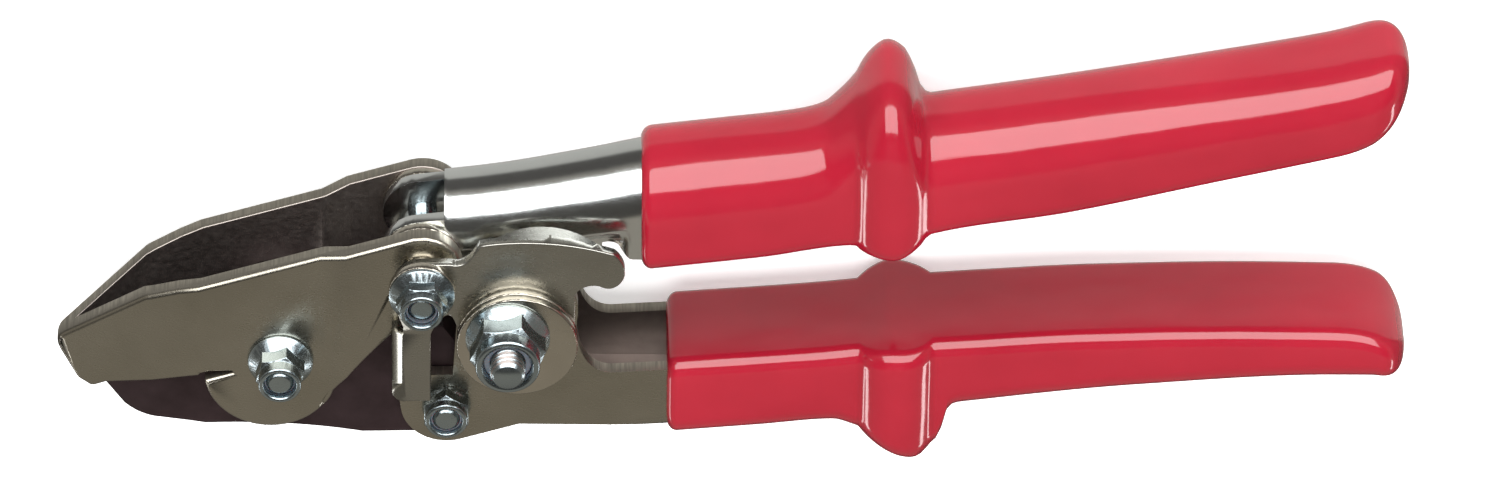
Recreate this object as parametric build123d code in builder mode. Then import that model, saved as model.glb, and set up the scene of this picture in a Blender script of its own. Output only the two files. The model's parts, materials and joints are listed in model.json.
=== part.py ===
from build123d import *
import math
import os

# Hand notching snips: a V punch that closes up into a bow-shaped die housing, worked
# through a four-bar handle linkage.
#
# The tool lies on its back on the XY plane. +X runs from the jaws to the handle ends,
# +Y towards the upper handle, and the four pivot axes stand along Z. The origin is on
# the resting plane, under the middle of the tool. Sketch coordinates are counted from
# the jaw pivot, and heights from the middle plane between the plates.

# ---- driving dimensions (mm) ----
JAW_X, JAW_Y, MID_Z = -81.806, -21.7, 15.8  # jaw pivot and middle plane, from the origin

JAW = (0.0, 0.0)  # punch in the housing
TOP = (25.8, 21.9)  # housing on the upper handle
MAIN = (41.2, 13.5)  # upper handle on the lower handle
LINK = (30.0, -10.8)  # punch tang in the lower handle

SMALL_BOLT_R = 2.5
MAIN_BOLT_R = 3.2
FIT = 0.05  # radial running clearance of a bolt in its hole
LINK_PLAY = 0.14  # radial play of the link bolt in the tang

PLATE = 3.2  # housing plate thickness
HOUSING_HALF = 10.5  # half width over the plates at the jaw pivot
HOUSING_WIDE = 12.3  # the same behind the joggle
PUNCH_HALF = 7.1
EAR_WALL = 2.4  # upper handle wall
EAR_OUT = 7.2  # outer face of the upper handle's ears
LOWER_WALL = 2.6
HANDLE_HALF = 10.0  # half width over both handle channels
GRIP_HALF = 12.0
CORNER = 2.6  # rounding of the lower handle's long lower edges
GUARD_HALF = 15.8  # half width over the finger guards
BETWEEN = -119.0  # direction square to the line between the two handle pivots, in degrees
SIDE_LOW, SIDE_HIGH = 15.2, 17.2  # faces of the side plate
LIP_LOW, LIP_LENGTH = 12.6, 11.0  # the left leg's bent-back lip
DISC_CENTRE = (42.9, 11.1)
DISC_R = 10.9

UPPER_STEEL_END = 182.0
LOWER_STEEL_END = 190.0
UPPER_GRIP_START = 65.2
LOWER_GRIP_START = 70.0


# ---- helpers ----
def level(height):
    """Plane parallel to the plates, with its origin on the jaw pivot's axis."""
    return Plane((JAW_X, JAW_Y, MID_Z + height))


def plan(y):
    """Plane seen from above the jaws: local x along X, local y along Z."""
    return Plane((JAW_X, JAW_Y + y, MID_Z), x_dir=(1, 0, 0), z_dir=(0, -1, 0))


def across(x):
    """Plane square to the handles: local x along -Z, local y along Y."""
    return Plane((JAW_X + x, JAW_Y, MID_Z), x_dir=(0, 0, -1), z_dir=(1, 0, 0))


def touch(point, centre, radius, side):
    """Where the straight line from point touches a circle; side is +1 or -1."""
    dx = point[0] - centre[0]
    dy = point[1] - centre[1]
    angle = math.atan2(dy, dx) + side * math.acos(radius / math.hypot(dx, dy))
    return (centre[0] + radius * math.cos(angle), centre[1] + radius * math.sin(angle))


def on_circle(centre, radius, degrees):
    """The point of a circle at an angle counted from +X."""
    angle = math.radians(degrees)
    return (centre[0] + radius * math.cos(angle), centre[1] + radius * math.sin(angle))


def save(part, name):
    """Label one finished piece and write it."""
    part.label = name
    export_step(part, f"parts/{name}.step")


def upright(pivot):
    """Plane through a pivot's axis: local x outwards from it, local y along Z."""
    return Plane((JAW_X + pivot[0], JAW_Y + pivot[1], MID_Z), x_dir=(1, 0, 0), z_dir=(0, -1, 0))


def pivot_axis(pivot):
    """The axis of a pivot."""
    return Axis((JAW_X + pivot[0], JAW_Y + pivot[1], MID_Z), (0, 0, 1))


def ring(pivot, outer_r, inner_r, low, high, hole=None):
    """Washer, spacer or disc between two heights, with its rims eased."""
    with BuildPart() as piece:
        with BuildSketch(level(low)):
            with Locations(pivot):
                Circle(outer_r)
            with Locations(hole or pivot):
                Circle(inner_r, mode=Mode.SUBTRACT)
        extrude(amount=high - low)
        chamfer(piece.edges().filter_by(GeomType.CIRCLE).group_by(SortBy.RADIUS)[-1], 0.2)
    return piece.part


def flange_bolt(pivot, radius, seat, tip, hexagon, flange_r, turn):
    """Flange bolt put in from the back; seat is the face under its head."""
    end = seat - HEAD
    with BuildPart() as piece:
        with BuildSketch(level(seat)):
            with Locations(pivot):
                RegularPolygon(hexagon / 2, 6, major_radius=False, rotation=turn)
        extrude(amount=-HEAD)
        with BuildSketch(upright(pivot)):
            with BuildLine():
                Polyline((0, seat), (hexagon * 0.6, seat), (hexagon * 0.6, end + hexagon * 0.07),
                         (hexagon * 0.48, end), (0, end), (0, seat))
            make_face()
        revolve(axis=pivot_axis(pivot), mode=Mode.INTERSECT)
        with BuildSketch(upright(pivot)):
            with BuildLine():
                Polyline((0, seat), (flange_r, seat), (flange_r, seat - 0.8),
                         (hexagon * 0.5, seat - 1.6), (0, seat - 1.6), (0, seat))
            make_face()
        revolve(axis=pivot_axis(pivot))
        with BuildSketch(level(seat)):
            with Locations(pivot):
                Circle(radius)
        extrude(amount=tip - seat)
        chamfer(piece.faces().sort_by(Axis.Z)[-1].edges(), 0.6)
    return piece.part


def lock_nut(pivot, radius, base, top, hexagon, flange_r, mouth, turn):
    """Flange lock nut: flange, hexagon, and a round collar open over a nylon ring."""
    height = top - base
    crown = top - height * COLLAR_PART
    with BuildPart() as piece:
        with BuildSketch(level(base)):
            with Locations(pivot):
                RegularPolygon(hexagon / 2, 6, major_radius=False, rotation=turn)
        extrude(amount=crown - base)
        with BuildSketch(upright(pivot)):
            with BuildLine():
                Polyline((0, base), (hexagon * 0.6, base), (hexagon * 0.6, crown - hexagon * 0.07),
                         (hexagon * 0.48, crown), (0, crown), (0, base))
            make_face()
        revolve(axis=pivot_axis(pivot), mode=Mode.INTERSECT)
        with BuildSketch(upright(pivot)):
            rim = (hexagon * 0.485 + mouth) / 2
            with BuildLine():
                Polyline((0, base), (flange_r, base), (flange_r, base + 0.7),
                         (hexagon * 0.5, base + height * 0.3), (hexagon * 0.485, base + height * 0.3),
                         (hexagon * 0.485, top - RIM))
                ThreePointArc((hexagon * 0.485, top - RIM), (rim, top), (mouth, top - RIM))
                Polyline((mouth, top - RIM), (mouth, crown), (0, crown), (0, base))
            make_face()
        revolve(axis=pivot_axis(pivot))
        with BuildSketch(level(base)):
            with Locations(pivot):
                Circle(radius + FIT)
        extrude(amount=height, mode=Mode.SUBTRACT)
    return piece.part


def nut_ring(pivot, radius, base, top, mouth):
    """Nylon ring that lies in the bottom of a lock nut's collar."""
    collar = (top - base) * COLLAR_PART
    return ring(pivot, mouth - FIT, radius + FIT, top - collar + FIT, top - collar * (1 - RING_PART))


HEAD = 3.5  # height of a bolt's head
COLLAR_PART = 0.32  # share of a nut's height that is its collar
RING_PART = 0.45  # share of the collar's height that holds the ring
RIM = 0.5  # depth over which a collar's rim is rounded


# ---- jaw housing: side outline crossed with a bow-shaped wall ----
def jaw_housing_part():
    """Two plates joined at the nose, set apart behind a joggle."""
    top_start = (-18.2, 15.3)
    heel = (21.4, 8.4)
    lobe_r = 7.3
    top_touch = touch(top_start, TOP, lobe_r, -1)
    heel_touch = touch(heel, TOP, lobe_r, 1)
    with BuildPart() as housing:
        with BuildSketch(level(-HOUSING_WIDE - 1)) as side:
            with BuildLine():
                Polyline((-31.9, -9.5), (-34.6, -11.2), (-37.2, -9.9), (-41.6, -1.8), (-36.3, 2.6),
                         (-24.5, 12.6), top_start, top_touch)
                ThreePointArc(top_touch, on_circle(TOP, lobe_r, 15), heel_touch)
                Line(heel_touch, heel)
                Spline(heel, (15.1, 1.0), (9.6, -6.6))
                ThreePointArc((9.6, -6.6), (-1.2, -15.5), (-13.9, -3.6))
                Line((-13.9, -3.6), (-31.9, -9.5))
            make_face()
            fillet(side.vertices().sort_by(Axis.X)[0], 3.0)
            fillet(side.vertices().sort_by(Axis.Y)[:2], 1.3)
        extrude(amount=2 * HOUSING_WIDE + 2)
        with BuildSketch(plan(40)):
            with BuildLine() as wall:
                Polyline((-41.7, 0), (-41.4, 1.2), (-40.2, 2.3), (-23.5, 8.3), (-14.5, HOUSING_HALF),
                         (7.5, HOUSING_HALF), (12.0, HOUSING_WIDE), (45.0, HOUSING_WIDE), (45.0, 0))
                mirror(wall.line, about=Plane.XZ)
            make_face()
            offset(amount=-PLATE, mode=Mode.SUBTRACT)
        extrude(amount=70, mode=Mode.INTERSECT)
        with BuildSketch(level(-HOUSING_WIDE - 1)):
            with BuildLine():
                Polyline((-14.6, -3.4), (-13.0, -2.9), (-9.0, -2.8), (-8.8, -3.2), (-13.1, -4.8),
                         (-15.2, -4.8), (-14.6, -3.4))
            make_face()
        extrude(amount=2 * HOUSING_WIDE + 2, mode=Mode.SUBTRACT)
        with BuildSketch(level(-HOUSING_WIDE - 1)):
            with Locations(JAW, TOP):
                Circle(SMALL_BOLT_R + FIT)
        extrude(amount=2 * HOUSING_WIDE + 2, mode=Mode.SUBTRACT)
    return housing.part


# ---- punch ----
def punch_part():
    """V punch: its nose fills the die, and its tang reaches back to the link bolt."""
    lobe_r = 8.3
    tang_low = (14.5, -19.3)
    tang_top = (29.5, 5.0)
    low_touch = touch(tang_low, LINK, lobe_r, 1)
    top_touch = touch(tang_top, LINK, lobe_r, -1)
    with BuildPart() as punch:
        with BuildSketch(level(-PUNCH_HALF)):
            with BuildLine():
                Polyline((-14.5, -1.6), (-33.0, -5.6), (-33.0, -11.2), (-28.9, -16.2))
                ThreePointArc((-28.9, -16.2), (-27.0, -17.3), (-22.3, -17.8))
                Spline((-22.3, -17.8), (-9.3, -17.2), (4.5, -17.8), tang_low)
                Line(tang_low, low_touch)
                ThreePointArc(low_touch, on_circle(LINK, lobe_r, -45), top_touch)
                Polyline(top_touch, tang_top, (18.0, 6.0), (4.0, 8.6))
                ThreePointArc((4.0, 8.6), (-4.6, 8.3), (-9.6, 3.4))
                Line((-9.6, 3.4), (-14.5, -1.6))
            make_face()
        extrude(amount=2 * PUNCH_HALF)
        with BuildSketch(plan(40)):
            with BuildLine() as wedge:
                Polyline((-33.2, 0), (-33.2, 1.0), (-22.9, 4.6), (-13.9, PUNCH_HALF),
                         (45.0, PUNCH_HALF), (45.0, 0))
                mirror(wedge.line, about=Plane.XZ)
            make_face()
        extrude(amount=70, mode=Mode.INTERSECT)
        with BuildSketch(plan(-9.0)):
            with BuildLine() as hollow:
                Polyline((-24.5, 0), (-15.5, 3.4), (-15.5, 0))
                mirror(hollow.line, about=Plane.XZ)
            make_face()
        extrude(amount=-20, mode=Mode.SUBTRACT)
        with BuildSketch(level(-PUNCH_HALF)):
            with Locations(JAW):
                Circle(SMALL_BOLT_R + FIT)
            with Locations(LINK):
                Circle(SMALL_BOLT_R + LINK_PLAY)
        extrude(amount=2 * PUNCH_HALF, mode=Mode.SUBTRACT)
    return punch.part


# ---- upper handle ----
def upper_bar(inset, half, rounding, end):
    """Solid bar along the upper handle, inset mm inside the web's top, its web rounded."""
    with BuildPart() as bar:
        for x, low, high in ((30.0, 21.0, 33.6), (46.0, 21.6, 36.0), (62.0, 22.4, 39.6),
                             (120.0, 31.9, 48.6), (end, 46.8, 59.4)):
            with BuildSketch(across(x)) as section:
                with Locations((0, (low + high - inset) / 2)):
                    Rectangle(2 * half, high - inset - low)
                fillet(section.vertices().group_by(Axis.Y)[-1], rounding)
        loft(ruled=True)
    return bar.part


def upper_handle_part():
    """Channel opening down; its walls are set in to two flat ears near the pivots."""
    shell = upper_bar(0.0, HANDLE_HALF, 9.2, UPPER_STEEL_END)
    hollow = upper_bar(EAR_WALL, HANDLE_HALF - EAR_WALL, 6.8, UPPER_STEEL_END + 1)
    set_in = 61.0
    main_r = 7.6
    top_far = (62.2, 34.4)
    low_far = (62.2, 23.4)
    top_touch = touch(top_far, TOP, EAR_OUT, 1)
    low_touch = touch(low_far, MAIN, main_r, -1)
    with BuildPart() as handle:
        add(shell)
        add(hollow, mode=Mode.SUBTRACT)
        with BuildSketch(level(-HANDLE_HALF)):
            with BuildLine():
                Polyline((20.0, 10.0), (20.0, 23.4), (30.0, 24.6), (set_in, 31.0), (set_in, 10.0),
                         (20.0, 10.0))
            make_face()
        extrude(amount=2 * HANDLE_HALF, mode=Mode.SUBTRACT)
        with BuildSketch(plan(60)) as wedges:
            with BuildLine():
                Polyline((28.0, 8.7), (34.0, 8.8), (56.0, HANDLE_HALF), (56.0, 15.0), (28.0, 15.0),
                         (28.0, 8.7))
            make_face()
            mirror(wedges.sketch_local, about=Plane.XZ)
        extrude(amount=60, mode=Mode.SUBTRACT)
        for low in (-HANDLE_HALF, EAR_OUT):
            with BuildSketch(level(low)):
                with Locations(TOP):
                    Circle(7.7)
            extrude(amount=HANDLE_HALF - EAR_OUT, mode=Mode.SUBTRACT)
        for low in (-EAR_OUT, EAR_OUT - EAR_WALL):
            with BuildSketch(level(low)):
                with BuildLine():
                    ThreePointArc(top_touch, on_circle(TOP, EAR_OUT, 180), on_circle(TOP, EAR_OUT, BETWEEN))
                    Line(on_circle(TOP, EAR_OUT, BETWEEN), on_circle(MAIN, main_r, BETWEEN))
                    ThreePointArc(on_circle(MAIN, main_r, BETWEEN), on_circle(MAIN, main_r, -90), low_touch)
                    Polyline(low_touch, low_far, top_far, top_touch)
                make_face()
            extrude(amount=EAR_WALL)
        for low in (-HANDLE_HALF + 0.05, EAR_OUT - EAR_WALL):
            with BuildSketch(level(low)):
                with Locations((61.7, 27.4)):
                    Rectangle(1.8, 7.6)
            extrude(amount=HANDLE_HALF - EAR_OUT + EAR_WALL - 0.05)
        with BuildSketch(level(-HANDLE_HALF)):
            with Locations(TOP):
                Circle(SMALL_BOLT_R + FIT)
            with Locations(MAIN):
                Circle(MAIN_BOLT_R + FIT)
        extrude(amount=2 * HANDLE_HALF, mode=Mode.SUBTRACT)
    return handle.part


def sleeve(stations):
    """Sleeve through rounded sections, each (x, low y, high y, half width, corner)."""
    with BuildPart() as body:
        for x, low, high, half, corner in stations:
            with BuildSketch(across(x)):
                with Locations((0, (low + high) / 2)):
                    RectangleRounded(2 * half, high - low, corner)
        loft(ruled=True)
    return body.part


def upper_grip_part():
    """Dipped vinyl sleeve over the upper channel, with a finger guard."""
    with BuildPart() as grip:
        add(sleeve(((UPPER_GRIP_START, 20.0, 41.9, GRIP_HALF, 8.0), (105.0, 26.8, 47.9, GRIP_HALF, 8.0),
                    (148.5, 34.9, 54.6, GRIP_HALF, 8.0), (188.0, 45.4, 62.4, GRIP_HALF, 7.5),
                    (198.0, 51.4, 65.0, 10.4, 5.0), (202.4, 56.6, 64.2, 6.6, 3.0))))
        add(sleeve(((94.0, 25.4, 45.8, 11.6, 8.0), (104.5, 26.2, 56.2, 14.0, 9.0),
                    (109.8, 25.4, 59.4, GUARD_HALF, 10.0), (114.6, 26.8, 55.6, 14.6, 10.0),
                    (118.6, 30.2, 49.6, 11.6, 8.0))))
        add(upper_bar(0.0, HANDLE_HALF, 9.2, UPPER_STEEL_END), mode=Mode.SUBTRACT)
    return grip.part


# ---- lower handle ----
def lower_bar():
    """Solid bar of the lower handle's outer shape, behind its pivots."""
    with BuildPart() as bar:
        with BuildSketch(level(-HANDLE_HALF)):
            with BuildLine():
                Polyline((44.0, -15.2), (76.0, -15.6), (148.5, -5.9), (LOWER_STEEL_END, -2.9),
                         (LOWER_STEEL_END, 4.6), (148.5, 4.2), (76.0, -2.2), (60.0, -3.2),
                         (44.0, -3.2), (44.0, -15.2))
            make_face()
        extrude(amount=2 * HANDLE_HALF)
        underside = bar.faces().filter_by(Axis.Z).edges().filter_by(lambda edge: edge.length > 40.0)
        fillet(underside.group_by(Axis.Y)[0], CORNER)
    return bar.part


def lower_handle_part():
    """Channel opening up, with two round-ended ears beside the punch tang."""
    link_r = 8.3
    main_r = 11.0
    low = (43.2, -15.2)
    low_touch = touch(low, LINK, link_r, -1)
    with BuildPart() as handle:
        with BuildSketch(level(-HANDLE_HALF)):
            with BuildLine():
                ThreePointArc(low_touch, on_circle(LINK, link_r, -120), on_circle(LINK, link_r, -175))
                Polyline(on_circle(LINK, link_r, -175), (21.0, -5.4), (22.6, -3.8), (31.2, -3.8),
                         on_circle(DISC_CENTRE, main_r, 190))
                ThreePointArc(on_circle(DISC_CENTRE, main_r, 190), on_circle(DISC_CENTRE, main_r, 90),
                              on_circle(DISC_CENTRE, main_r, -10))
                Spline(on_circle(DISC_CENTRE, main_r, -10), (54.9, 0.6), (57.0, -2.2), (60.0, -3.2))
                Polyline((60.0, -3.2), (60.0, -15.4), low, low_touch)
            make_face()
        extrude(amount=2 * HANDLE_HALF)
        add(lower_bar())
        with BuildSketch(level(-HANDLE_HALF + LOWER_WALL)):
            with BuildLine():
                Polyline((10.0, -30.0), (44.4, -30.0), (44.4, -12.6), (76.0, -13.0), (148.5, -3.3),
                         (LOWER_STEEL_END + 1, -0.3), (LOWER_STEEL_END + 1, 30.0), (10.0, 30.0),
                         (10.0, -30.0))
            make_face()
        extrude(amount=2 * (HANDLE_HALF - LOWER_WALL), mode=Mode.SUBTRACT)
        with BuildSketch(level(-HANDLE_HALF)):
            with Locations(MAIN):
                Circle(MAIN_BOLT_R + FIT)
            with Locations(LINK):
                Circle(SMALL_BOLT_R + FIT)
        extrude(amount=2 * HANDLE_HALF, mode=Mode.SUBTRACT)
    return handle.part


def lower_grip_part():
    """Dipped vinyl sleeve over the lower channel, with a finger guard."""
    with BuildPart() as grip:
        add(sleeve(((LOWER_GRIP_START, -17.8, -0.3, GRIP_HALF, 4.0), (105.0, -13.7, 2.6, GRIP_HALF, 4.0),
                    (148.5, -7.9, 6.2, GRIP_HALF, 4.0), (190.0, -5.1, 6.7, GRIP_HALF, 3.5),
                    (200.0, -4.9, 0.6, 11.4, 2.0), (204.4, -4.7, -2.2, 10.6, 1.0))))
        add(sleeve(((99.5, -14.2, 2.0, 11.6, 4.0), (108.0, -17.6, 3.4, 14.6, 6.0),
                    (114.6, -21.6, 4.2, GUARD_HALF, 6.0), (119.0, -19.6, 3.6, 14.0, 6.0),
                    (122.0, -11.4, 3.4, 11.6, 4.0))))
        add(lower_bar(), mode=Mode.SUBTRACT)
    return grip.part


# ---- side plate ----
def side_plate_part():
    """Hooked plate over both handle pivots: left leg, crescent thumb lip and nose."""
    thick = SIDE_HIGH - SIDE_LOW
    with BuildPart() as plate:
        with BuildSketch(level(SIDE_LOW)):
            with BuildLine():
                Polyline((22.4, 13.0), (22.4, 0.0), (20.3, 0.0), (20.3, -1.6))
                ThreePointArc((20.3, -1.6), (21.0, -3.5), (22.8, -4.2))
                Polyline((22.8, -4.2), (27.3, -4.2), (27.3, 10.6))
                Spline((27.3, 10.6), (28.6, 13.8), (30.6, 15.6), (31.9, 13.4), (32.7, 9.6))
                ThreePointArc((32.7, 9.6), on_circle(DISC_CENTRE, 10.4, -90), (53.3, 11.1))
                Line((53.3, 11.1), (53.3, 20.2))
                ThreePointArc((53.3, 20.2), (55.0, 21.9), (57.8, 22.1))
                Spline((57.8, 22.1), (60.4, 21.9), (62.0, 23.8), (61.9, 27.0), (60.2, 29.4))
                ThreePointArc((60.2, 29.4), (49.0, 31.9), (36.2, 31.4))
                Spline((36.2, 31.4), (35.0, 29.2), (33.4, 27.4), (31.0, 27.1))
                Line((31.0, 27.1), (25.8, 27.1))
                ThreePointArc((25.8, 27.1), on_circle(TOP, 5.2, 145), (20.6, 21.9))
                Spline((20.6, 21.9), (21.2, 17.0), (22.4, 13.0))
            make_face()
        extrude(amount=thick)
        with BuildSketch(plan(11.0)):
            with BuildLine():
                Line((22.4, SIDE_LOW), (22.4, SIDE_HIGH))
                ThreePointArc((22.4, SIDE_HIGH), (20.9, SIDE_HIGH - 0.6), (20.3, SIDE_HIGH - 2.1))
                Polyline((20.3, SIDE_HIGH - 2.1), (20.3, LIP_LOW), (21.9, LIP_LOW), (21.9, SIDE_LOW - 0.5),
                         (22.4, SIDE_LOW))
            make_face()
        extrude(amount=LIP_LENGTH)
        with BuildSketch(level(12.2)):
            with BuildLine():
                ThreePointArc((59.6, 29.6), (49.0, 31.9), (37.0, 31.45))
                Line((37.0, 31.45), (37.0, 29.45))
                ThreePointArc((37.0, 29.45), (49.0, 29.9), (59.6, 27.6))
                Line((59.6, 27.6), (59.6, 29.6))
            make_face()
        lip = extrude(amount=SIDE_HIGH - 12.2, mode=Mode.PRIVATE)
        with BuildSketch(plan(60)):
            with BuildLine():
                ThreePointArc((37.0, SIDE_HIGH), (47.5, 12.2), (59.6, SIDE_HIGH))
                Line((59.6, SIDE_HIGH), (37.0, SIDE_HIGH))
            make_face()
        crescent = extrude(amount=70, mode=Mode.PRIVATE)
        add(lip & crescent)
        with BuildSketch(level(SIDE_LOW)):
            with Locations(TOP):
                Circle(SMALL_BOLT_R + FIT)
            with Locations(MAIN):
                Circle(MAIN_BOLT_R + FIT)
        extrude(amount=thick, mode=Mode.SUBTRACT)
    return plate.part


# ---- all pieces ----
os.makedirs("parts", exist_ok=True)

save(jaw_housing_part(), "jaw_housing")
save(punch_part(), "punch")
save(upper_handle_part(), "upper_handle")
save(upper_grip_part(), "upper_grip")
save(lower_handle_part(), "lower_handle")
save(lower_grip_part(), "lower_grip")
save(side_plate_part(), "side_plate")

# pivot stacks: name, pivot, bolt radius, seat of the head, bolt tip, nut base, nut top,
# hexagon, flange radius, radius of the collar's mouth, turn of the hexagon
STACKS = (
    ("jaw", JAW, SMALL_BOLT_R, -HOUSING_HALF, 17.6, HOUSING_HALF, 18.1, 8.0, 5.9, 2.9, 15),
    ("top", TOP, SMALL_BOLT_R, -HOUSING_WIDE, 23.6, 19.0, 25.0, 8.0, 5.9, 2.9, 0),
    ("link", LINK, SMALL_BOLT_R, -HANDLE_HALF, 14.6, HANDLE_HALF, 15.0, 8.0, 4.4, 2.9, 30),
    ("main", MAIN, MAIN_BOLT_R, -HANDLE_HALF - 2.0, 32.5, 20.7, 29.8, 12.0, 7.6, 4.4, 8.6),
)
for name, pivot, bolt_r, seat, tip, base, top, hexagon, flange_r, mouth, turn in STACKS:
    save(flange_bolt(pivot, bolt_r, seat, tip, hexagon, flange_r, turn), f"{name}_bolt")
    save(lock_nut(pivot, bolt_r, base, top, hexagon, flange_r, mouth, turn), f"{name}_nut")
    save(nut_ring(pivot, bolt_r, base, top, mouth), f"{name}_nut_ring")

small_hole = SMALL_BOLT_R + FIT
main_hole = MAIN_BOLT_R + FIT
inside_wide = HOUSING_WIDE - PLATE
washers = [ring(TOP, 7.2, small_hole, EAR_OUT, inside_wide), ring(TOP, 7.2, small_hole, -inside_wide, -EAR_OUT)]
save(Compound(children=washers), "top_thrust_washers")
save(ring(TOP, 3.5, small_hole, HOUSING_WIDE, SIDE_LOW), "top_spacer")
save(ring(TOP, 6.0, small_hole, SIDE_HIGH, 19.0), "top_washer")
save(ring(MAIN, 5.2, main_hole, HANDLE_HALF, SIDE_LOW), "main_spacer")
save(ring(MAIN, 5.2, main_hole, EAR_WALL - EAR_OUT, EAR_OUT - EAR_WALL), "main_sleeve")
save(ring(MAIN, 8.0, main_hole, -HANDLE_HALF - 2.0, -HANDLE_HALF), "main_rear_washer")
save(ring(DISC_CENTRE, DISC_R, main_hole, SIDE_HIGH, 18.95, hole=MAIN), "inner_disc")
save(ring(DISC_CENTRE, DISC_R, main_hole, 18.95, 20.7, hole=MAIN), "outer_disc")
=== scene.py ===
import json
import math

import bmesh
import bpy
from mathutils import Matrix, Vector


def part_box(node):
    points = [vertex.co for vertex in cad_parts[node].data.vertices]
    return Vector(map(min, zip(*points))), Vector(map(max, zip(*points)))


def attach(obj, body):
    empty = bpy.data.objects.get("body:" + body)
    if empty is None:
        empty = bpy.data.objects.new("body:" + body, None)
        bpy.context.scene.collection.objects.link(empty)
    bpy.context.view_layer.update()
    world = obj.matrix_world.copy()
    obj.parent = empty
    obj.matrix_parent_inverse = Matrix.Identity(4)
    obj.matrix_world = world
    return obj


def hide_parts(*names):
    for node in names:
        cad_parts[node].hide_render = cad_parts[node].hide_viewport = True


# Hand notching snips: materials, dipped grips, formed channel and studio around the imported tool.
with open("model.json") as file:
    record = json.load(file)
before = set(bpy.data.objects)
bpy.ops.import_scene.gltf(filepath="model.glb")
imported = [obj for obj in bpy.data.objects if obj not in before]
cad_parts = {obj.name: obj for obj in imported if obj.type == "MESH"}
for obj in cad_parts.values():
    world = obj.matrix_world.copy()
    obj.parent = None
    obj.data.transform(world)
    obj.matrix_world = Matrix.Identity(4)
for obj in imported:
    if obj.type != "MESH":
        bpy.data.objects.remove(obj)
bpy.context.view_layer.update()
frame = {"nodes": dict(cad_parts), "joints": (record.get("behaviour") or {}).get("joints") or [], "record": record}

MM = 0.001
JAW = Vector(frame["joints"][2]["pos_m"])  # jaw pivot on the middle plane
MAIN = Vector(frame["joints"][0]["pos_m"])  # main pivot on the middle plane
SHARP = 28.0  # degrees from which an edge of a CAD node counts as sharp
WELD = 1e-6  # metres within which doubled points of a CAD mesh are joined
COPLANAR = math.radians(1.0)
WHITE = (1.0, 1.0, 1.0, 1.0)


def at(x, y, z=0.0):
    """Row position of a point given in mm from the jaw pivot and the middle plane."""
    return JAW + Vector((x, y, z)) * MM


# ---- camera ----
def look_at(obj, target, back, up):
    """Points an object's -Z at target from along back, with its +Y near up."""
    back = Vector(back).normalized()
    right = Vector(up).cross(back).normalized()
    up = back.cross(right)
    rows = Matrix((right, up, back)).transposed()
    obj.matrix_world = Matrix.Translation(target) @ rows.to_4x4()


def camera():
    """Long lens from the upper handle's side, the picture turned so that handle is up."""
    distance = 2.0
    width = 0.2708  # width of the view at the tool
    data = bpy.data.cameras.new("camera")
    data.sensor_width = 36.0
    data.lens = data.sensor_width * distance / width
    data.clip_end = 20.0
    obj = bpy.data.objects.new("camera", data)
    bpy.context.scene.collection.objects.link(obj)
    back = Vector((-0.02, 0.616, 0.788)).normalized()
    look_at(obj, at(84.6, 17.4) + back * distance, back, (0.0, 0.788, -0.616))
    bpy.context.scene.camera = obj


# ---- node helpers ----
class Nodes:
    """Short-hand for building one material's node tree."""

    def __init__(self, name):
        """Starts a material that has only its principled shader."""
        self.material = bpy.data.materials.new(name)
        self.material.use_nodes = True
        self.tree = self.material.node_tree
        self.shader = self.tree.nodes["Principled BSDF"]

    def new(self, kind, **values):
        """New node with some of its properties set."""
        node = self.tree.nodes.new(kind)
        for key, value in values.items():
            setattr(node, key, value)
        return node

    def link(self, source, target):
        """Joins an output to an input."""
        self.tree.links.new(source, target)

    def set(self, **values):
        """Sets plain values on the shader's sockets."""
        for key, value in values.items():
            self.shader.inputs[key.replace("_", " ")].default_value = value

    def place(self, scale=(1.0, 1.0, 1.0)):
        """Object coordinates, scaled: every piece shares the row frame's metres."""
        coordinates = self.new("ShaderNodeTexCoord")
        mapping = self.new("ShaderNodeMapping")
        mapping.inputs["Scale"].default_value = scale
        self.link(coordinates.outputs["Object"], mapping.inputs["Vector"])
        return mapping.outputs["Vector"]

    def noise(self, vector, scale, detail=4.0, roughness=0.5):
        """Noise value at a place."""
        node = self.new("ShaderNodeTexNoise")
        node.inputs["Scale"].default_value = scale
        node.inputs["Detail"].default_value = detail
        node.inputs["Roughness"].default_value = roughness
        self.link(vector, node.inputs["Vector"])
        return node.outputs["Fac"]

    def spread(self, source, low, high, start=0.3, end=0.7):
        """Stretches a noise value between start and end to low..high."""
        node = self.new("ShaderNodeMapRange")
        node.inputs["From Min"].default_value = start
        node.inputs["From Max"].default_value = end
        node.inputs["To Min"].default_value = low
        node.inputs["To Max"].default_value = high
        self.link(source, node.inputs["Value"])
        return node.outputs["Result"]

    def mix(self, factor, first, second):
        """Blend of two fixed colours."""
        node = self.new("ShaderNodeMix", data_type="RGBA")
        node.inputs["A"].default_value = (*first, 1.0)
        node.inputs["B"].default_value = (*second, 1.0)
        self.link(factor, node.inputs["Factor"])
        return node.outputs["Result"]

    def blend_colors(self, factor, first, second):
        """Blend of two linked colours."""
        node = self.new("ShaderNodeMix", data_type="RGBA")
        for name, source in (("A", first), ("B", second), ("Factor", factor)):
            self.link(source, node.inputs[name])
        return node.outputs["Result"]

    def blend_values(self, factor, first, second):
        """Blend of two linked values."""
        node = self.new("ShaderNodeMapRange")
        self.link(factor, node.inputs["Value"])
        self.link(first, node.inputs["To Min"])
        self.link(second, node.inputs["To Max"])
        return node.outputs["Result"]

    def bump(self, *layers):
        """Bump chain of (height, distance in m, strength)."""
        normal = None
        for height, distance, strength in layers:
            node = self.new("ShaderNodeBump")
            node.inputs["Strength"].default_value = strength
            node.inputs["Distance"].default_value = distance
            self.link(height, node.inputs["Height"])
            if normal is not None:
                self.link(normal, node.inputs["Normal"])
            normal = node.outputs["Normal"]
        self.link(normal, self.shader.inputs["Normal"])


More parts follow.
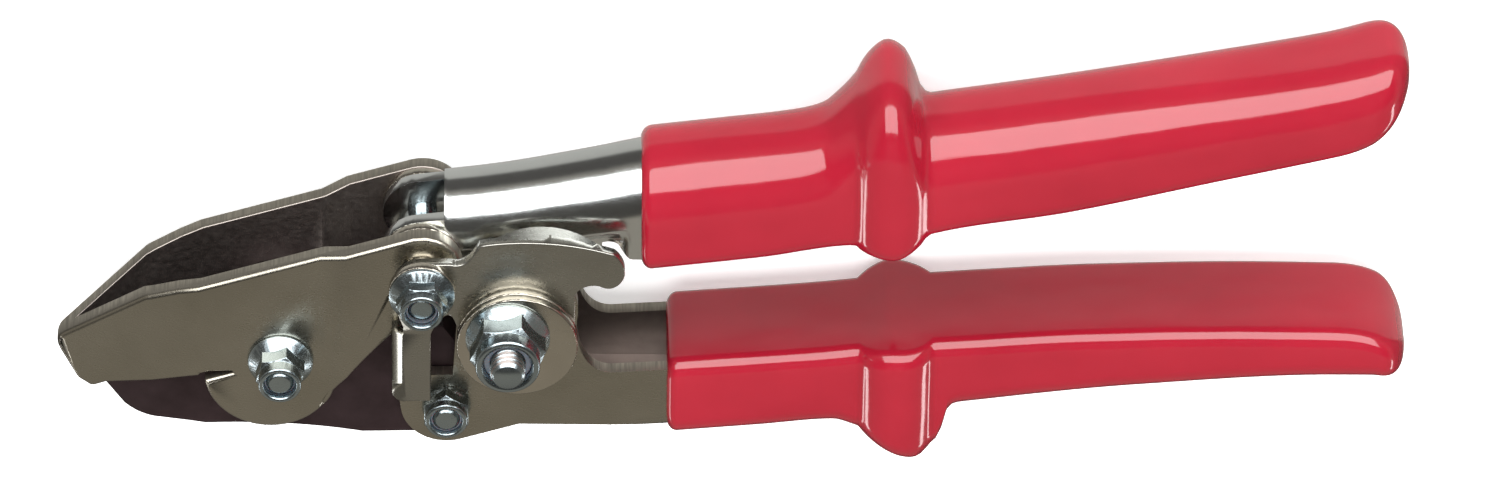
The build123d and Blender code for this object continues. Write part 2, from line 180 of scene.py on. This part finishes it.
# ---- materials ----
def plated_steel(name, light, dark, rough=(0.25, 0.31), wave=0.15, sheared=None):
    """Plated steel: cloudy plating and fine pits; sheared is the colour of cut edges."""
    m = Nodes(name)
    m.set(Metallic=1.0)
    clouds = m.noise(m.place(), 60.0, 6.0, 0.6)
    color = m.mix(m.spread(clouds, 0.0, 1.0), light, dark)
    grain = m.noise(m.place((700.0, 1500.0, 1500.0)), 1.0, 4.0, 0.7)
    roughness = m.spread(grain, *rough)
    waves = m.noise(m.place(), 90.0, 1.0)
    layers = [(waves, 0.0006, wave)]
    if sheared:
        # cut edges are the faces that stand square to the plates, with streaks through the sheet
        normal = m.new("ShaderNodeSeparateXYZ")
        m.link(m.new("ShaderNodeTexCoord").outputs["Normal"], normal.inputs["Vector"])
        size = m.new("ShaderNodeMath", operation="ABSOLUTE")
        m.link(normal.outputs["Z"], size.inputs[0])
        edge = m.spread(size.outputs[0], 1.0, 0.0, 0.12, 0.4)
        streaks = m.noise(m.place((1900.0, 1900.0, 120.0)), 1.0, 3.0, 0.6)
        cut = m.mix(m.spread(streaks, 0.0, 1.0), sheared, tuple(0.6 * c for c in sheared))
        color = m.blend_colors(edge, color, cut)
        roughness = m.blend_values(edge, roughness, m.spread(streaks, 0.34, 0.5))
        layers.append((streaks, 0.00004, 0.5))
    m.link(color, m.shader.inputs["Base Color"])
    m.link(roughness, m.shader.inputs["Roughness"])
    m.bump(*layers)
    return m.material


def black_oxide():
    """Dark brown-black oxide on a ground punch, worn brighter in places."""
    m = Nodes("black_oxide")
    m.set(Metallic=0.55)
    blotches = m.noise(m.place(), 110.0, 6.0, 0.65)
    m.link(m.mix(m.spread(blotches, 0.0, 1.0), (0.019, 0.011, 0.012), (0.036, 0.022, 0.024)),
           m.shader.inputs["Base Color"])
    m.link(m.spread(blotches, 0.36, 0.55), m.shader.inputs["Roughness"])
    scratches = m.noise(m.place((2500.0, 140.0, 2500.0)), 1.0, 3.0, 0.6)
    m.bump((scratches, 0.00003, 0.3), (blotches, 0.0002, 0.25))
    return m.material


def red_vinyl():
    """Glossy dipped vinyl with slow thickness waves under a clear skin."""
    m = Nodes("red_vinyl")
    m.set(IOR=1.5, Coat_Weight=0.6, Coat_Roughness=0.04, Coat_IOR=1.5,
          Subsurface_Weight=0.12, Subsurface_Radius=(0.006, 0.0012, 0.0012), Subsurface_Scale=0.4)
    clouds = m.noise(m.place(), 35.0, 4.0, 0.55)
    m.link(m.mix(m.spread(clouds, 0.0, 1.0), (0.275, 0.0085, 0.021), (0.235, 0.0065, 0.017)),
           m.shader.inputs["Base Color"])
    grain = m.noise(m.place(), 1500.0, 3.0, 0.6)
    m.link(m.spread(grain, 0.10, 0.17), m.shader.inputs["Roughness"])
    waves = m.noise(m.place((1.0, 1.6, 1.6)), 55.0, 1.5)
    m.bump((waves, 0.0012, 0.35), (grain, 0.00002, 0.12))
    return m.material


def nylon():
    """Milky nylon of the lock nuts' rings."""
    m = Nodes("nylon")
    m.set(IOR=1.53, Roughness=0.4, Subsurface_Weight=0.2, Subsurface_Scale=0.001)
    clouds = m.noise(m.place(), 900.0, 3.0)
    m.link(m.mix(m.spread(clouds, 0.0, 1.0), (0.12, 0.13, 0.15), (0.08, 0.09, 0.11)),
           m.shader.inputs["Base Color"])
    m.bump((clouds, 0.00002, 0.3))
    return m.material


def paint(obj, material):
    """Gives every face of a piece one material."""
    obj.data.materials.clear()
    obj.data.materials.append(material)


# ---- mesh helpers ----
def new_object(name, mesh, material, body, *nodes, slot):
    """Links a finished mesh as a piece that stands for some CAD nodes."""
    obj = bpy.data.objects.new(name, mesh)
    bpy.context.scene.collection.objects.link(obj)
    paint(obj, material)
    mesh.shade_smooth()
    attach(obj, body)
    if nodes:
        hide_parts(*nodes)
    return obj


def apply_modifiers(obj):
    """Turns a piece's modifiers into its own mesh."""
    depsgraph = bpy.context.evaluated_depsgraph_get()
    mesh = bpy.data.meshes.new_from_object(obj.evaluated_get(depsgraph))
    obj.modifiers.clear()
    obj.data = mesh


def weigh_edges(obj, angle, inner_share, start, flatness):
    """Full bevel weight on sharp edges of the outward plate faces, inner_share on the others.

    Edges nearer the jaws than start (mm) stay sharp. A face is outward when its normal's part
    along the pivots, away from the middle plane, is above flatness.
    """
    bm = bmesh.new()
    bm.from_mesh(obj.data)
    weight = bm.edges.layers.float.new("bevel_weight_edge")
    for edge in bm.edges:
        if len(edge.link_faces) != 2 or edge.calc_face_angle() <= math.radians(angle):
            continue
        middle = (edge.verts[0].co + edge.verts[1].co) / 2 - JAW
        outward = max(face.normal.z * math.copysign(1.0, middle.z) for face in edge.link_faces)
        if middle.x > start * MM:
            edge[weight] = 1.0 if outward > flatness else inner_share
    bm.to_mesh(obj.data)
    bm.free()


def bevel(obj, width, segments, angle, weights=None):
    """Rounds edges sharper than angle (degrees), or by weight without limiting the overlap."""
    if weights:
        weigh_edges(obj, angle, **weights)
    modifier = obj.modifiers.new("bevel", "BEVEL")
    modifier.width = width * MM
    modifier.segments = segments
    modifier.limit_method = "WEIGHT" if weights else "ANGLE"
    modifier.angle_limit = math.radians(angle)
    modifier.harden_normals = True
    modifier.use_clamp_overlap = weights is None
    apply_modifiers(obj)


def eased(node, material, width, segments, weights=None):
    """Copy of a CAD node with its sharp edges rounded, standing for that node."""
    mesh = frame["nodes"][node].data.copy()
    bm = bmesh.new()
    bm.from_mesh(mesh)
    bmesh.ops.remove_doubles(bm, verts=bm.verts, dist=WELD)
    bmesh.ops.dissolve_limit(bm, angle_limit=COPLANAR, verts=bm.verts, edges=bm.edges)
    bm.to_mesh(mesh)
    bm.free()
    obj = new_object(node + "_eased", mesh, material, BODY_OF[node], node, slot=SLOTS[node])
    bevel(obj, width, segments, SHARP, weights)
    return obj


def cut_open(bm, place, normal):
    """Cuts away what lies beyond a plane and closes the cut."""
    cut = bmesh.ops.bisect_plane(bm, geom=bm.verts[:] + bm.edges[:] + bm.faces[:],
                                 plane_co=place, plane_no=normal, clear_outer=True)
    rim = [e for e in cut["geom_cut"] if isinstance(e, bmesh.types.BMEdge)]
    bmesh.ops.holes_fill(bm, edges=rim)


def paint_inner_shade(obj, material):
    """Darker plating as painted shade on faces towards the middle plane and the lower channel's floor."""
    channel_half = 7.45  # mm from the middle plane to the channel's inner walls
    floor_below = -2.0  # mm; the channel's floor lies lower than this
    obj.data.materials.append(material)
    for face in obj.data.polygons:
        place = (face.center - JAW) / MM
        looks_in = face.normal.z * place.z < 0 and abs(face.normal.z) > 0.5
        floor = face.normal.y > 0.7 and abs(place.z) < channel_half and place.y < floor_below
        if looks_in or floor:
            face.material_index = 1


def pchip(points):
    """Smooth curve through (x, y) points that doesn't overshoot them."""
    xs = [p[0] for p in points]
    ys = [p[1] for p in points]
    steps = [(ys[i + 1] - ys[i]) / (xs[i + 1] - xs[i]) for i in range(len(xs) - 1)]
    slopes = [steps[0]]
    for before, after in zip(steps, steps[1:]):
        same_way = before * after > 0
        slopes.append(2 * before * after / (before + after) if same_way else 0.0)
    slopes.append(steps[-1])

    def value(x):
        if x <= xs[0]:
            return ys[0] + slopes[0] * (x - xs[0])
        if x >= xs[-1]:
            return ys[-1] + slopes[-1] * (x - xs[-1])
        i = max(k for k in range(len(xs) - 1) if xs[k] <= x)
        h = xs[i + 1] - xs[i]
        t = (x - xs[i]) / h
        return (ys[i] * (1 + 2 * t) * (1 - t) ** 2 + slopes[i] * h * t * (1 - t) ** 2
                + ys[i + 1] * t * t * (3 - 2 * t) + slopes[i + 1] * h * t * t * (t - 1))

    return value


CORNER_STEPS = 14
FLAT_STEPS = 5
FULLEST = 0.995  # largest corner radius as a share of the half width or height


def rounded_ring(low, high, half, r_low, r_high):
    """Points (y, z) round a rectangle whose lower and upper corners have their own radii."""
    limit = min(half, (high - low) / 2) * FULLEST
    r_low = min(r_low, limit)
    r_high = min(r_high, limit)
    corners = ((high - r_high, half - r_high, r_high, 90),
               (high - r_high, r_high - half, r_high, 180),
               (low + r_low, r_low - half, r_low, 270),
               (low + r_low, half - r_low, r_low, 0))
    arcs = []
    for cy, cz, r, start in corners:
        # angle counted from +z towards +y, so that the ring closes
        arcs.append([(cy + r * math.sin(math.radians(a)), cz + r * math.cos(math.radians(a)))
                     for a in (start - 90 + 90 * k / CORNER_STEPS for k in range(CORNER_STEPS + 1))])
    ring = []
    for i, arc in enumerate(arcs):
        ring.extend(arc)
        end, start = arc[-1], arcs[(i + 1) % 4][0]
        for k in range(1, FLAT_STEPS):
            t = k / FLAT_STEPS
            ring.append((end[0] + (start[0] - end[0]) * t, end[1] + (start[1] - end[1]) * t))
    return ring


def loft_mesh(name, rings, cap_start=False, cap_end=True):
    """Mesh over a row of equal rings of points."""
    mesh = bpy.data.meshes.new(name)
    count = len(rings[0])
    verts = [p for ring in rings for p in ring]
    faces = []
    for i in range(len(rings) - 1):
        for k in range(count):
            n = (k + 1) % count
            above = (i + 1) * count
            faces.append((i * count + k, i * count + n, above + n, above + k))
    if cap_start:
        faces.append(tuple(range(count - 1, -1, -1)))
    if cap_end:
        faces.append(tuple((len(rings) - 1) * count + k for k in range(count)))
    mesh.from_pydata(verts, [], faces)
    mesh.validate()
    bm = bmesh.new()
    bm.from_mesh(mesh)
    bmesh.ops.recalc_face_normals(bm, faces=bm.faces)
    bm.to_mesh(mesh)
    bm.free()
    return mesh


# ---- grips ----
LIP = 2.0  # radius of a grip's rolled mouth
LIP_RINGS = 8
GRIP_RINGS = 190
CROWDING = 1.55  # how much closer the rings stand towards the grip's end
GUARD_REACH = 6.4  # half the length of a finger guard's bulge
GUARD_BULGE = 3.8
GRIP_HALF = 12.0


def closing(x, end, length, power=2.3):
    """1 along the grip, falling to 0 at its rounded end."""
    t = max(0.0, (x - (end - length)) / length)
    return max(0.0, 1.0 - t ** power) ** (1.0 / power)


def bead(x, centre, reach, power=0.75):
    """Round bead across the grip: 1 at its centre, 0 at its feet."""
    u = abs(x - centre) / reach
    return max(0.0, 1.0 - u * u) ** power


def grip(node, material, start, end, tip, guard, top, bottom, r_high, r_low, ends):
    """Dipped grip swept along X through rounded sections, with a rolled mouth.

    tip is the height at which its end closes, guard the finger guard's centre, top and bottom
    the outline, and ends the lengths over which top, bottom and sides close. All are in mm.
    """
    top = pchip(top)
    bottom = pchip(bottom)

    def ring(x, margin, top_share=1.0, bottom_share=1.0, side_share=1.0):
        low = tip + (bottom(x) - tip) * bottom_share + margin
        high = tip + (top(x) - tip) * top_share - margin
        half = (GRIP_HALF + GUARD_BULGE * bead(x, guard, GUARD_REACH)) * side_share - margin
        return [at(x, y, z) for y, z in rounded_ring(low, high, half, r_low, r_high)]

    # the mouth: two rings inside the bore, then a quarter round
    rings = [ring(start + 3.0, LIP + 0.15), ring(start, LIP + 0.1)]
    for k in range(LIP_RINGS):
        a = math.radians(90 * k / (LIP_RINGS - 1))
        rings.append(ring(start + LIP * (1 - math.cos(a)), LIP * (1 - math.sin(a))))
    for k in range(1, GRIP_RINGS + 1):
        t = k / GRIP_RINGS
        x = start + LIP + (end - start - LIP) * (1 - (1 - t) ** CROWDING)
        x = min(x, end - 0.004)
        rings.append(ring(x, 0.0, *(closing(x, end, length) for length in ends)))
    name = node + "_skin"
    mesh = loft_mesh(name, rings)
    new_object(name, mesh, material, BODY_OF[node], node, slot=SLOTS[node])


def grips(material):
    """Both dipped grips."""
    grip("upper_grip", material, start=65.2, end=202.6, tip=58.6, guard=110.2,
         top=((65.2, 41.9), (80.0, 43.9), (94.0, 45.9), (97.7, 47.3), (100.8, 50.4), (106.7, 57.6),
              (109.3, 59.0), (112.2, 57.7), (114.3, 54.0), (115.4, 50.6), (117.0, 49.4),
              (119.6, 49.7), (144.8, 53.9), (168.4, 58.0), (188.0, 61.8), (197.0, 64.3),
              (202.6, 65.2)),
         bottom=((65.2, 20.0), (87.0, 22.9), (103.9, 25.6), (105.5, 25.5), (110.6, 24.9),
                 (115.6, 27.0), (117.0, 28.0), (141.6, 33.0), (168.4, 40.0), (191.2, 46.0),
                 (202.6, 49.4)),
         r_high=11.4, r_low=4.0, ends=(5.0, 13.0, 8.0))
    grip("lower_grip", material, start=70.0, end=204.6, tip=-3.3, guard=111.6,
         top=((70.0, -0.4), (105.4, 3.0), (107.0, 3.4), (111.0, 4.3), (115.2, 4.1), (117.2, 4.2),
              (126.7, 4.9), (147.0, 6.2), (173.7, 6.8), (192.0, 6.5), (204.6, 6.0)),
         bottom=((70.0, -17.9), (87.0, -16.3), (100.5, -15.0), (103.5, -16.0), (113.0, -20.9),
                 (115.6, -21.7), (118.6, -20.4), (120.2, -17.0), (120.9, -13.2), (122.4, -11.3),
                 (126.0, -10.7), (155.9, -7.0), (190.5, -4.8), (204.6, -4.9)),
         r_high=3.0, r_low=5.0, ends=(13.5, 3.0, 5.0))


# ---- upper channel ----
SHEET = 2.2  # wall of the upper channel
CHANNEL_START, CHANNEL_END = 29.8, 69.0
HALF_START, HALF_END = 8.7, 9.9  # half width of the web at the two ends
EAR_HALF = 7.15  # half width over the set-in walls
EAR_LOW, GRIP_LOW = 27.0, 22.6  # lower edge of the walls beside the ears and at the grip
SPREAD_FROM, SPREAD_LENGTH = 59.0, 4.5  # where the walls come out to the web's width
SHOULDER = 0.6  # straight part of the wall under the web's round
ROLL = 3.6  # height over which the wall turns in to the ears
ROLL_STEPS = 12
WALL_STEPS = 4
CHANNEL_STEPS = 60


def smooth(t):
    """Eases 0..1 at both ends."""
    return t * t * (3 - 2 * t)


def channel_section(x, top, half):
    """Right half of the channel's outside, from its top down, as (z, y) points."""
    # 0 beside the set-in ears, 1 at the grip
    joined = smooth(min(1.0, max(0.0, (x - SPREAD_FROM) / SPREAD_LENGTH)))
    wall = EAR_HALF + (half - EAR_HALF) * joined
    low = EAR_LOW + (GRIP_LOW - EAR_LOW) * joined
    points = [(half * math.sin(math.radians(a)), top - half * (1 - math.cos(math.radians(a))))
              for a in range(0, 90, 6)]
    side = top - half - SHOULDER
    for k in range(ROLL_STEPS + 1):
        t = k / ROLL_STEPS
        points.append((half + (wall - half) * smooth(t), side - ROLL * t))
    bottom = min(low, side - ROLL - 0.5)
    y = points[-1][1]
    for k in range(1, WALL_STEPS + 1):
        y += (bottom - y) * k / WALL_STEPS
        points.append((wall, y))
    return points


def inset(points, depth):
    """A row of points moved depth to the right of its direction of travel."""
    moved = []
    for i, point in enumerate(points):
        before = points[max(0, i - 1)]
        after = points[min(len(points) - 1, i + 1)]
        dz, dy = after[0] - before[0], after[1] - before[1]
        size = math.hypot(dz, dy)
        moved.append((point[0] + depth * dy / size, point[1] - depth * dz / size))
    return moved


def upper_channel(material):
    """Formed channel of the upper handle: rolled web, set-in walls, and the CAD node's ears."""
    top = pchip(((29.8, 33.5), (39.8, 34.9), (57.9, 38.7), (64.0, 40.2), (70.0, 41.4)))
    rings = []
    for k in range(CHANNEL_STEPS + 1):
        share = k / CHANNEL_STEPS
        x = CHANNEL_START + (CHANNEL_END - CHANNEL_START) * share
        right = channel_section(x, top(x), HALF_START + (HALF_END - HALF_START) * share)
        outer = [(-z, y) for z, y in reversed(right[1:])] + right
        inner = inset(outer, SHEET)
        rings.append([at(x, y, z) for z, y in outer + inner[::-1]])
    mesh = loft_mesh("channel", rings, cap_start=True)
    bm = bmesh.new()
    bm.from_mesh(frame["nodes"]["upper_handle"].data)
    bmesh.ops.remove_doubles(bm, verts=bm.verts, dist=WELD)
    # below the shoulders and outside the grip only the two flat ears are left
    ear_face = EAR_HALF + 0.07
    cut_open(bm, at(25.8, 29.15), (-0.13, 1.0, 0.0))
    cut_open(bm, at(58.2, 0.0), (1.0, 0.0, 0.0))
    cut_open(bm, at(0.0, 0.0, ear_face), (0.0, 0.0, 1.0))
    cut_open(bm, at(0.0, 0.0, -ear_face), (0.0, 0.0, -1.0))
    bmesh.ops.dissolve_limit(bm, angle_limit=COPLANAR, verts=bm.verts, edges=bm.edges)
    bm.from_mesh(mesh)
    bm.to_mesh(mesh)
    bm.free()
    obj = new_object("upper_channel", mesh, material, "upper_handle", "upper_handle",
                     slot="plated_channel")
    bevel(obj, 0.45, 3, 40)


# ---- threaded pivot bolt ----
THREAD_START = 22.0  # mm above the middle plane
THREAD_RADIUS = 3.2
PITCH = 1.27
DEPTH = 0.62
THREAD_AROUND = 60
THREAD_ROWS = 150
TIP_CHAMFER = 0.8  # length of the chamfer on the bolt's end
TIP_SLOPE = 0.9


def threaded_bolt(material, groove_shade_material):
    """Main pivot bolt with a rolled thread on its end, its grooves darkened with painted shade."""
    tip = (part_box("main_bolt")[1][2] - MAIN.z) / MM
    rings = []
    for i in range(THREAD_ROWS + 1):
        z = THREAD_START + (tip - THREAD_START) * i / THREAD_ROWS
        chamfer = max(0.0, z - (tip - TIP_CHAMFER)) * TIP_SLOPE
        ring = []
        for k in range(THREAD_AROUND):
            turn = (z / PITCH - k / THREAD_AROUND) % 1.0
            groove = DEPTH * min(1.0, max(0.0, 1.15 - abs(turn - 0.5) * 2.5))
            r = THREAD_RADIUS - max(groove, chamfer)
            a = 2 * math.pi * k / THREAD_AROUND
            ring.append(MAIN + Vector((r * math.cos(a), r * math.sin(a), z)) * MM)
        rings.append(ring)
    mesh = loft_mesh("thread", rings, cap_start=True)
    bm = bmesh.new()
    bm.from_mesh(frame["nodes"]["main_bolt"].data)
    bmesh.ops.remove_doubles(bm, verts=bm.verts, dist=WELD)
    cut_open(bm, MAIN + Vector((0, 0, THREAD_START * MM)), (0, 0, 1))
    bm.from_mesh(mesh)
    bm.to_mesh(mesh)
    bm.free()
    obj = new_object("main_bolt_threaded", mesh, material, "upper_handle", "main_bolt",
                     slot="zinc_fastener")
    # the grooves get the darker plating: painted shade in the thread's roots
    obj.data.materials.append(groove_shade_material)
    for face in obj.data.polygons:
        place = (face.center - MAIN) / MM
        in_groove = math.hypot(place.x, place.y) < THREAD_RADIUS - 0.4 * DEPTH
        if THREAD_START + 0.5 < place.z < tip - TIP_CHAMFER - 0.1 and in_groove:
            face.material_index = 1


# ---- studio ----
def area_light(name, place, target, size, power, glossy=True):
    """Rectangular light that shines from place at target."""
    data = bpy.data.lights.new(name, "AREA")
    data.shape = "RECTANGLE"
    data.size, data.size_y = size
    data.energy = power
    obj = bpy.data.objects.new(name, data)
    bpy.context.scene.collection.objects.link(obj)
    back = Vector(place) - Vector(target)
    overhead = abs(back.normalized().z) >= 0.98
    look_at(obj, Vector(place), back, (0, 1, 0) if overhead else (0.0, 0.01, 1.0))
    obj.visible_glossy = glossy


def studio():
    """Pale floor, a tall softbox beyond the upper handle and a fill that isn't mirrored."""
    bpy.context.scene.view_settings.view_transform = "Standard"
    mesh = bpy.data.meshes.new("floor")
    size = 4.0
    corners = [(-size, -size, 0), (size, -size, 0), (size, size, 0), (-size, size, 0)]
    mesh.from_pydata(corners, [], [(0, 1, 2, 3)])
    floor = bpy.data.objects.new("floor", mesh)
    bpy.context.scene.collection.objects.link(floor)
    m = Nodes("floor_paper")
    m.set(Base_Color=(0.93, 0.93, 0.93, 1.0), Roughness=0.7, Specular_IOR_Level=0.1,
          Emission_Color=WHITE, Emission_Strength=0.4)
    paint(floor, m.material)
    floor.visible_glossy = False  # the steel mirrors the room's shades below instead
    area_light("softbox", (0.0, 1.6, 0.95), (0.0, 0.0, 0.1), (3.4, 1.7), 75.0)
    for name, side in (("side_strip_0", -1), ("side_strip_2", 1)):
        area_light(name, (side * 1.3, -1.05, 0.14), (0.0, 0.0, 0.04), (0.5, 0.2), 1.6)
    area_light("fill", (0.0, -0.2, 2.2), (0.0, 0.0, 0.0), (2.6, 2.6), 100.0, glossy=False)


# share of the way from straight down to straight up, and the room's colour there
ROOM_SHADES = ((0.0, (0.50, 0.49, 0.46)), (0.11, (0.46, 0.45, 0.42)), (0.15, (0.09, 0.085, 0.08)),
               (0.36, (0.07, 0.065, 0.06)), (0.45, (0.25, 0.23, 0.20)), (1.0, (0.30, 0.275, 0.23)))
ROOM_DARK = (0.06, 0.056, 0.05, 1.0)
# the room is dark straight above the tool, up to where the softbox ends
DARK_ABOVE = (("Y", -0.42, -0.2), ("Z", 0.1, 0.5))


def room():
    """World whose colour depends on the direction looked in, for the steel to mirror."""
    world = bpy.data.worlds.new("world")
    world.use_nodes = True
    tree = world.node_tree
    direction = tree.nodes.new("ShaderNodeSeparateXYZ")
    tree.links.new(tree.nodes.new("ShaderNodeTexCoord").outputs["Generated"], direction.inputs[0])
    span = tree.nodes.new("ShaderNodeMapRange")
    span.inputs["From Min"].default_value = -1.0
    tree.links.new(direction.outputs["Z"], span.inputs["Value"])
    shades = tree.nodes.new("ShaderNodeValToRGB")
    tree.links.new(span.outputs["Result"], shades.inputs["Fac"])
    ramp = shades.color_ramp
    while len(ramp.elements) < len(ROOM_SHADES):
        ramp.elements.new(0.5)
    for element, (place, color) in zip(ramp.elements, ROOM_SHADES):
        element.position = place
        element.color = (*color, 1.0)
    both = tree.nodes.new("ShaderNodeMath")
    both.operation = "MULTIPLY"
    for target, (axis, low, high) in zip(both.inputs, DARK_ABOVE):
        part = tree.nodes.new("ShaderNodeMapRange")
        part.interpolation_type = "SMOOTHSTEP"
        part.inputs["From Min"].default_value = low
        part.inputs["From Max"].default_value = high
        tree.links.new(direction.outputs[axis], part.inputs["Value"])
        tree.links.new(part.outputs["Result"], target)
    dim = tree.nodes.new("ShaderNodeMix")
    dim.data_type = "RGBA"
    dim.inputs["B"].default_value = ROOM_DARK
    tree.links.new(both.outputs[0], dim.inputs["Factor"])
    tree.links.new(shades.outputs["Color"], dim.inputs["A"])
    tree.links.new(dim.outputs["Result"], tree.nodes["Background"].inputs["Color"])
    bpy.context.scene.world = world


# ---- everything ----
camera()
studio()
room()

PLATE = plated_steel("plated_plate", (0.50, 0.473, 0.405), (0.43, 0.405, 0.34),
                     sheared=(0.60, 0.56, 0.48))
SIDE = plated_steel("side_plate_plating", (0.46, 0.455, 0.415), (0.40, 0.39, 0.35))
# painted shade: darker, rougher plating for the faces between the plates and for the thread's grooves
PAINTED_SHADE = plated_steel("painted_shade_plating", (0.45, 0.40, 0.375), (0.31, 0.27, 0.25), (0.34, 0.48))
CHANNEL = plated_steel("plated_channel", (0.82, 0.85, 0.85), (0.74, 0.77, 0.77), (0.14, 0.20), 0.35)
WASHER = plated_steel("plated_washer", (0.68, 0.64, 0.56), (0.58, 0.54, 0.46), (0.18, 0.28))
ZINC = plated_steel("zinc_fastener", (0.46, 0.53, 0.56), (0.38, 0.45, 0.48), (0.2, 0.3), 0.08)
VINYL = red_vinyl()

BY_SLOT = {"plated_plate": PLATE, "plated_channel": CHANNEL, "plated_washer": WASHER,
           "zinc_fastener": ZINC, "black_oxide": black_oxide(), "red_vinyl": VINYL,
           "nylon": nylon()}
SLOTS = {s["node"]: s["material_slot"] for s in frame["record"]["subparts"]}
BODY_OF = {n: b for b, nodes in frame["record"]["behaviour"]["bodies"].items() for n in nodes}
for node, obj in frame["nodes"].items():
    paint(obj, BY_SLOT[SLOTS[node]])

# widths are in mm; the bend at the side plate's short lip, nearer the jaws, stays sharp
PLATE_WIDTHS = {"jaw_housing": 0.85, "side_plate": 0.27, "lower_handle": 0.5, "punch": 0.5}
PLATE_WEIGHTS = {"jaw_housing": {"inner_share": 0.3, "start": -1000.0, "flatness": 0.5},
                 "side_plate": {"inner_share": 0.0, "start": 23.2, "flatness": 0.95}}
SMALL_WIDTH = 0.15
for node in frame["nodes"]:
    if node in PLATE_WIDTHS:
        material = SIDE if node == "side_plate" else BY_SLOT[SLOTS[node]]
        piece = eased(node, material, PLATE_WIDTHS[node], 5, PLATE_WEIGHTS.get(node))
        if node in ("jaw_housing", "lower_handle"):
            # the faces between the plates and the channel's floor get painted shade
            paint_inner_shade(piece, PAINTED_SHADE)
    elif SLOTS[node] in ("zinc_fastener", "plated_washer") and node != "main_bolt":
        eased(node, BY_SLOT[SLOTS[node]], SMALL_WIDTH, 2)

upper_channel(CHANNEL)
threaded_bolt(ZINC, PAINTED_SHADE)
grips(VINYL)
